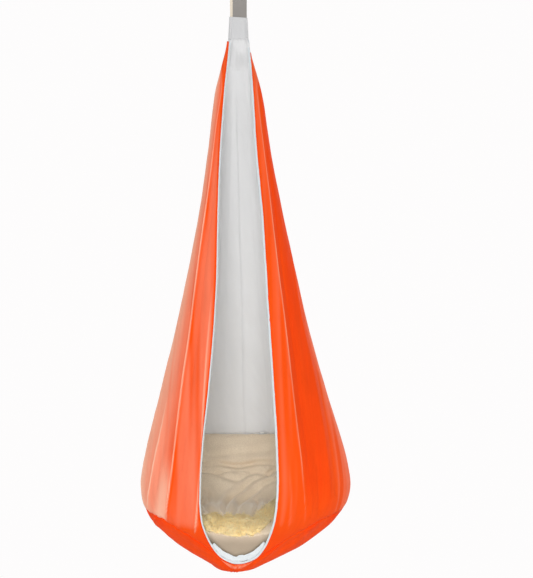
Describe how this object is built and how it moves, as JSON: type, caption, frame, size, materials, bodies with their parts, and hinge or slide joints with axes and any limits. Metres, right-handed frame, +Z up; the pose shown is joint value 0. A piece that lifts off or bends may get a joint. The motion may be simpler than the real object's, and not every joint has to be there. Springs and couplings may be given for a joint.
{
  "type": "hanging pod chair",
  "caption": "Hanging fabric pod chair with a front slit, lined walls, a cushion in its bowl, and a webbing strap on a ring, snap hook and ceiling swivel.",
  "frame": {"origin": "middle of the ceiling plate's upper face", "axes": "+Z up to the ceiling, -Y to the side of the slit, +X to the right seen from the front"},
  "size_m": [0.5641, 0.4946, 1.771],
  "materials": {
    "steel_plate": "satin zinc",
    "steel_forged": "satin zinc",
    "steel_hook": "satin zinc",
    "steel_spring": "drawn wire",
    "nylon": "matte",
    "webbing": "woven",
    "cream_tape": "woven",
    "outer_cloth": "plain weave cotton",
    "liner_cloth": "plain weave cotton",
    "binding_tape": "twill tape",
    "cushion_velour": "short pile",
    "fleece": "long pile",
    "bladder_film": "smooth film",
    "valve_plastic": "moulded"
  },
  "bodies": {
    "ceiling": {"ceiling_plate": "steel_plate", "swivel_housing": "steel_plate", "swivel_washer": "nylon"},
    "swivel": {"swivel_eye": "steel_forged", "swivel_nut": "steel_forged"},
    "hook": {"hook_body": "steel_hook", "hook_gate_pin": "steel_hook"},
    "gate": {"hook_gate": "steel_hook", "hook_gate_plunger": "steel_hook", "hook_gate_spring": "steel_spring"},
    "ring": {"strap_ring": "steel_forged"},
    "pod": {"hanging_strap": "webbing", "strap_tape": "cream_tape", "neck_collar": "liner_cloth", "outer_right_panel": "outer_cloth", "outer_back_panel": "outer_cloth", "outer_left_panel": "outer_cloth", "outer_base_panel": "outer_cloth", "liner_right_panel": "liner_cloth", "liner_back_panel": "liner_cloth", "liner_left_panel": "liner_cloth", "liner_base_panel": "liner_cloth", "opening_binding": "binding_tape", "lip_hem": "outer_cloth", "cushion_cover": "cushion_velour", "fleece_band": "fleece", "air_bladder": "bladder_film", "valve_body": "valve_plastic"},
    "plug": {"valve_plug": "valve_plastic"}
  },
  "joints": [
    {"name": "swivel_spin", "type": "hinge", "parent": "ceiling", "child": "swivel", "pos_m": [0, 0, -0.0503], "axis": [0, 0, 1], "continuous": true},
    {"name": "hook_swing", "type": "hinge", "parent": "swivel", "child": "hook", "pos_m": [0, 0, -0.0638], "axis": [1, 0, 0], "range_deg": [-40, 40]},
    {"name": "gate_hinge", "type": "hinge", "parent": "hook", "child": "gate", "pos_m": [0, -0.018, -0.114], "axis": [-1, 0, 0], "range_deg": [0, 28], "stiffness_Nm_per_rad": 0.03, "springref_deg": -17.19},
    {"name": "ring_swing", "type": "hinge", "parent": "hook", "child": "ring", "pos_m": [0, 0, -0.138], "axis": [0, 1, 0], "range_deg": [-40, 40]},
    {"name": "strap_swing", "type": "hinge", "parent": "ring", "child": "pod", "pos_m": [0, 0, -0.1707], "axis": [1, 0, 0], "range_deg": [-40, 40]},
    {"name": "plug_pull", "type": "slide", "parent": "pod", "child": "plug", "axis": [0, 0, 1], "range_m": [0, 0.02]}
  ]
}
